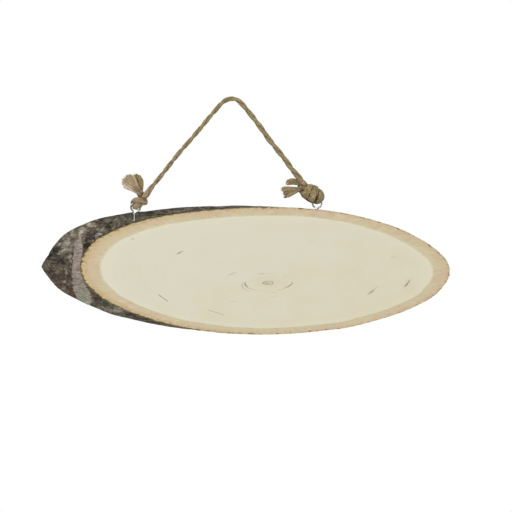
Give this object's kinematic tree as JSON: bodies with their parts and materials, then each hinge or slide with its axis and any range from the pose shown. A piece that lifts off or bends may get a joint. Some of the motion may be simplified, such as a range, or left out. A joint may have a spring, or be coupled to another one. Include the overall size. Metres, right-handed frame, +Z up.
{
  "type": "hanging wood slice plaque",
  "caption": "Long oval slice sawn slantwise from a bark-covered branch, sanded flat, hanging from a jute cord tied to screw eyes.",
  "frame": {"origin": "the point the plaque hangs from: the underside of the cord's bend, on the slice's mid-plane", "axes": "+X to the right along the slice's length, +Y from the front face to the back face, +Z up"},
  "size_m": [0.2857, 0.0139, 0.1659],
  "materials": {
    "wood": "sanded, uncoated, with rough grey-brown bark round the edge",
    "zinc_wire": "bright zinc-plated wire",
    "jute": "two-ply twisted jute, hairy"
  },
  "bodies": {
    "root": {"wood_slice": "wood", "screw_eye_left": "zinc_wire", "screw_eye_right": "zinc_wire", "hanger_cord": "jute", "knot_left": "jute", "knot_right": "jute"}
  },
  "joints": []
}
